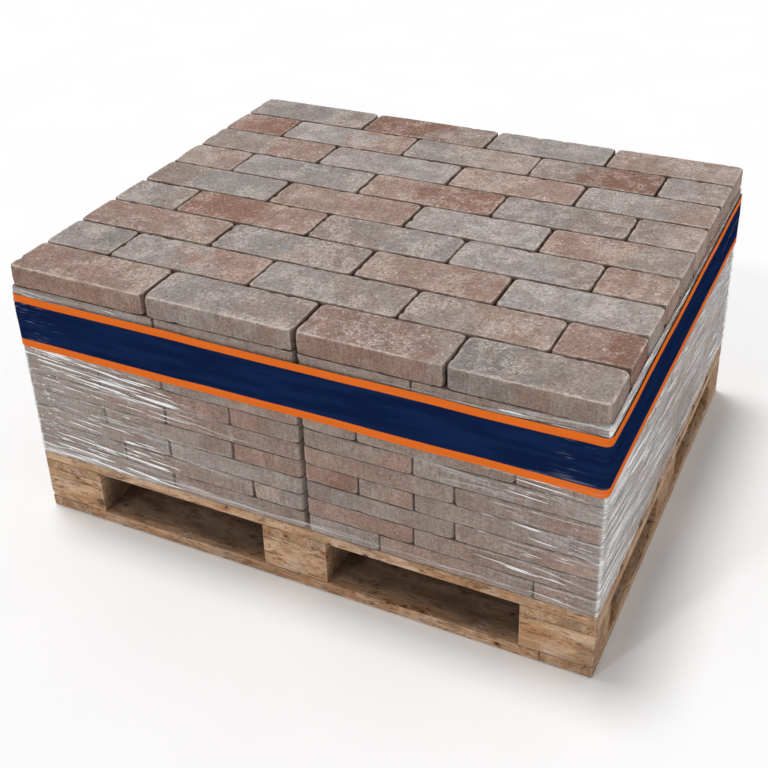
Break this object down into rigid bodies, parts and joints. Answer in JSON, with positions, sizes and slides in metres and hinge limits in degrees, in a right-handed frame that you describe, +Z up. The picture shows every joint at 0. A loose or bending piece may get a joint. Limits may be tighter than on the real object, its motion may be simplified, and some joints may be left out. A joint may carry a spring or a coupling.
{
  "type": "pallet of bricks",
  "caption": "Block pallet loaded with flush layers of tumbled concrete paving bricks, wrapped in clear stretch film with a printed band, and a bare running-bond top layer.",
  "frame": {"origin": "on the floor, under the middle of the pallet", "axes": "+X along the long front side, +Y from the front side to the back, +Z up"},
  "size_m": [1.2022, 1.0026, 0.584],
  "materials": {
    "pallet_wood": "sawn softwood, weathered tan",
    "brick": "tumbled concrete, mixed grey and red-brown, rough",
    "stretch_film": "clear film, creased, glossy",
    "printed_band": "printed tape, dark blue with an orange stripe along each edge, satin gloss"
  },
  "bodies": {
    "root": {"block_back_centre": "pallet_wood", "block_back_left": "pallet_wood", "block_back_right": "pallet_wood", "block_front_centre": "pallet_wood", "block_front_left": "pallet_wood", "block_front_right": "pallet_wood", "block_middle_centre": "pallet_wood", "block_middle_left": "pallet_wood", "block_middle_right": "pallet_wood", "brick_core": "brick", "brick_layer_01": "brick", "brick_layer_02": "brick", "brick_layer_03": "brick", "brick_layer_04": "brick", "brick_layer_05": "brick", "brick_layer_06": "brick", "brick_layer_07": "brick", "brick_layer_08": "brick", "brick_layer_09": "brick", "brick_layer_10": "brick", "brick_layer_11": "brick", "cross_bottom_board_1": "pallet_wood", "cross_bottom_board_2": "pallet_wood", "deck_board_1": "pallet_wood", "deck_board_2": "pallet_wood", "deck_board_3": "pallet_wood", "deck_board_4": "pallet_wood", "deck_board_5": "pallet_wood", "deck_board_6": "pallet_wood", "deck_board_7": "pallet_wood", "long_bottom_board_1": "pallet_wood", "long_bottom_board_2": "pallet_wood", "long_bottom_board_3": "pallet_wood", "printed_band": "printed_band", "stretch_film": "stretch_film", "stringer_board_1": "pallet_wood", "stringer_board_2": "pallet_wood", "stringer_board_3": "pallet_wood"}
  },
  "joints": []
}
